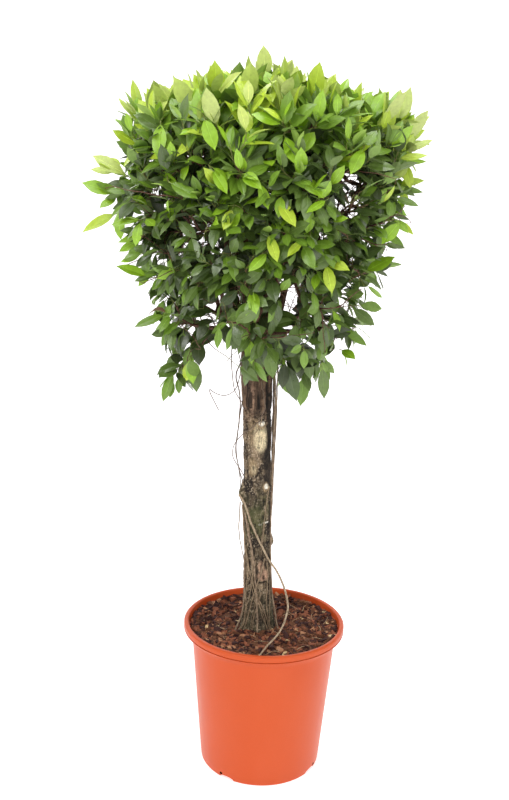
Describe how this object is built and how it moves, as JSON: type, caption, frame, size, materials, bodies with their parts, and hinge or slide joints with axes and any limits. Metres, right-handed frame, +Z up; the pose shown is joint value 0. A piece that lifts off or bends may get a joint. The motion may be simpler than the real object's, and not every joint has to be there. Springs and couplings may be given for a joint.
{
  "type": "standard lollipop topiary",
  "caption": "Small-leaved fig grown as a standard: a bare leaning trunk with hanging air roots and a round leafy head, standing in a round tapered nursery pot.",
  "frame": {"origin": "centre of the pot's flat underside, on the ground", "axes": "+Z up along the pot's axis, -Y out of the plant's front, +X to its right as seen from the front"},
  "size_m": [0.577, 0.4756, 1.294],
  "materials": {
    "pot": "satin",
    "soil": "rough",
    "bark": "rough",
    "air_root": "matte",
    "bough_bark": "rough",
    "foliage": "satin"
  },
  "bodies": {
    "root": {"pot": "pot", "soil": "soil", "trunk": "bark", "air_root_long": "air_root", "air_root_front": "air_root", "air_root_left": "air_root", "air_root_right": "air_root", "air_root_right_thin": "air_root", "air_root_wiry": "air_root", "bough_top": "bough_bark", "bough_upper_1": "bough_bark", "bough_upper_2": "bough_bark", "bough_upper_3": "bough_bark", "bough_upper_4": "bough_bark", "bough_upper_5": "bough_bark", "bough_upper_6": "bough_bark", "bough_skirt_1": "bough_bark", "bough_skirt_2": "bough_bark", "bough_skirt_3": "bough_bark", "bough_skirt_4": "bough_bark", "bough_skirt_5": "bough_bark", "bough_skirt_6": "bough_bark", "mass_top": "foliage", "mass_upper_1": "foliage", "mass_upper_2": "foliage", "mass_upper_3": "foliage", "mass_upper_4": "foliage", "mass_upper_5": "foliage", "mass_upper_6": "foliage", "mass_skirt_1": "foliage", "mass_skirt_2": "foliage", "mass_skirt_3": "foliage", "mass_skirt_4": "foliage", "mass_skirt_5": "foliage", "mass_skirt_6": "foliage"}
  },
  "joints": []
}
